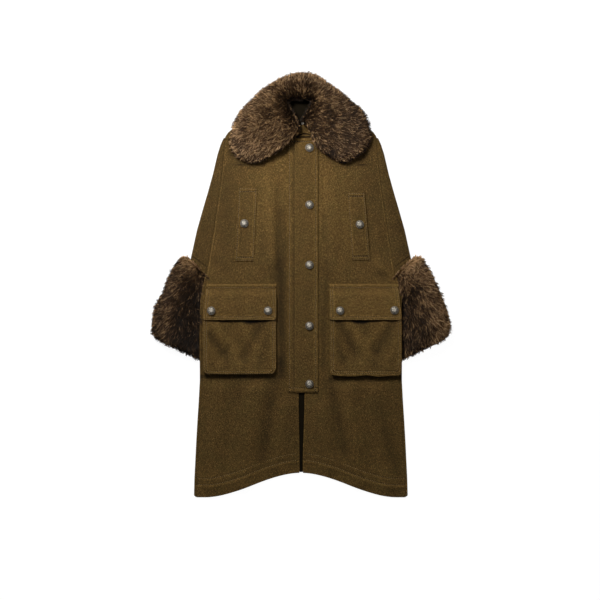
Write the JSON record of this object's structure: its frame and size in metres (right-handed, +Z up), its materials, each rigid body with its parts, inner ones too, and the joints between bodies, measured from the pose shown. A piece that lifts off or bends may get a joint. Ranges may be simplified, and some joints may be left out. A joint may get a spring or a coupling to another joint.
{
  "type": "loden cape coat",
  "caption": "Wool loden cape coat with fur collar and cuffs, button placket, chest welts, bellows pockets and an arched hem, laid flat with its fronts up.",
  "frame": {"origin": "on the surface that the coat lies on, at the middle of its length and width", "axes": "+Z up out of the fronts, +Y along the coat from the hem to the collar, +X to the right of someone looking down on it with the collar away from them"},
  "size_m": [0.776, 1.1, 0.048],
  "materials": {
    "loden": "olive-brown melange wool loden, brushed nap, matt",
    "fur": "long dark brown fur with lighter guard hairs",
    "lining": "dark green-black woven lining",
    "button_metal": "antique silver, darkened in its recesses"
  },
  "bodies": {
    "root": {"back_panel": "loden", "front_left": "loden", "front_right": "loden", "yoke_left": "loden", "yoke_right": "loden", "sleeve_left": "loden", "sleeve_right": "loden", "neck_band": "loden", "placket": "loden", "button_stand": "loden", "welt_left": "loden", "welt_right": "loden", "pocket_left_face": "loden", "pocket_left_gusset": "loden", "pocket_left_flap": "loden", "pocket_right_face": "loden", "pocket_right_gusset": "loden", "pocket_right_flap": "loden", "cuff_left": "fur", "cuff_right": "fur", "collar": "fur", "neck_facing": "lining", "button_front_1": "button_metal", "button_front_2": "button_metal", "button_front_3": "button_metal", "button_front_4": "button_metal", "button_front_5": "button_metal", "button_welt_left": "button_metal", "button_welt_right": "button_metal", "button_flap_left_outer": "button_metal", "button_flap_left_inner": "button_metal", "button_flap_right_inner": "button_metal", "button_flap_right_outer": "button_metal", "hook": "button_metal"}
  },
  "joints": []
}
